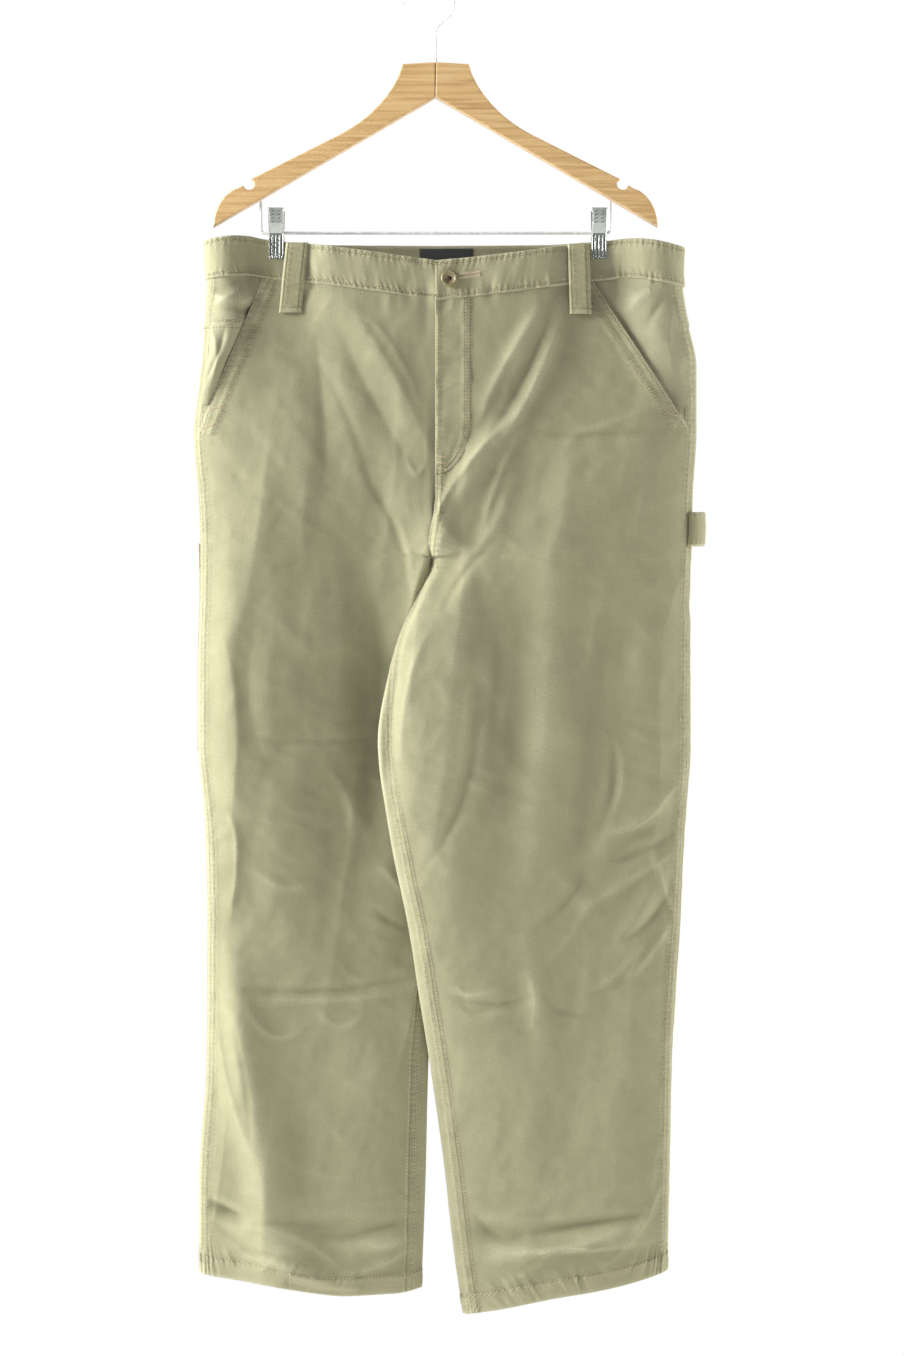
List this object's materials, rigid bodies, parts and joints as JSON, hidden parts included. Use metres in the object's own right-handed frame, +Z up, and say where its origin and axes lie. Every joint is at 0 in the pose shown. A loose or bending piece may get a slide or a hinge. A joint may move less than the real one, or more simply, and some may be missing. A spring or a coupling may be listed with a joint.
{
  "type": "jeans on a clip hanger",
  "caption": "Straight carpenter-style trousers in heavy cotton canvas with slant pockets, tool pocket and hammer loop, clipped by the waistband to a wooden hanger.",
  "frame": {"origin": "seat of the hanger's hook, where a clothes rail carries it", "axes": "+X to the left of the wearer (the viewer's right), -Y to the garment's front, +Z up"},
  "size_m": [0.5119, 0.097, 1.334],
  "materials": {
    "canvas": "matte khaki twill canvas",
    "canvas_edge": "matte khaki twill canvas, doubled strip",
    "button": "satin tan",
    "label": "plain black woven tab",
    "wood": "clear lacquered beech",
    "steel": "bright plated"
  },
  "bodies": {
    "root": {"front_right": "canvas", "back_right": "canvas", "front_left": "canvas", "back_left": "canvas", "yoke_right": "canvas", "yoke_left": "canvas", "pocket_panel_right": "canvas", "pocket_panel_left": "canvas", "fly": "canvas", "waistband": "canvas", "hem_right": "canvas", "hem_left": "canvas", "back_pocket_right": "canvas", "back_pocket_left": "canvas", "tool_pocket": "canvas", "coin_pocket": "canvas_edge", "belt_loop_front_right": "canvas_edge", "belt_loop_front_left": "canvas_edge", "belt_loop_back_right": "canvas_edge", "belt_loop_back_left": "canvas_edge", "belt_loop_centre": "canvas_edge", "hammer_loop": "canvas_edge", "label": "label", "button": "button", "hanger_arm_right": "wood", "hanger_arm_left": "wood", "hook": "steel", "trouser_bar": "steel", "clip_right": "steel", "clip_left": "steel"}
  },
  "joints": []
}
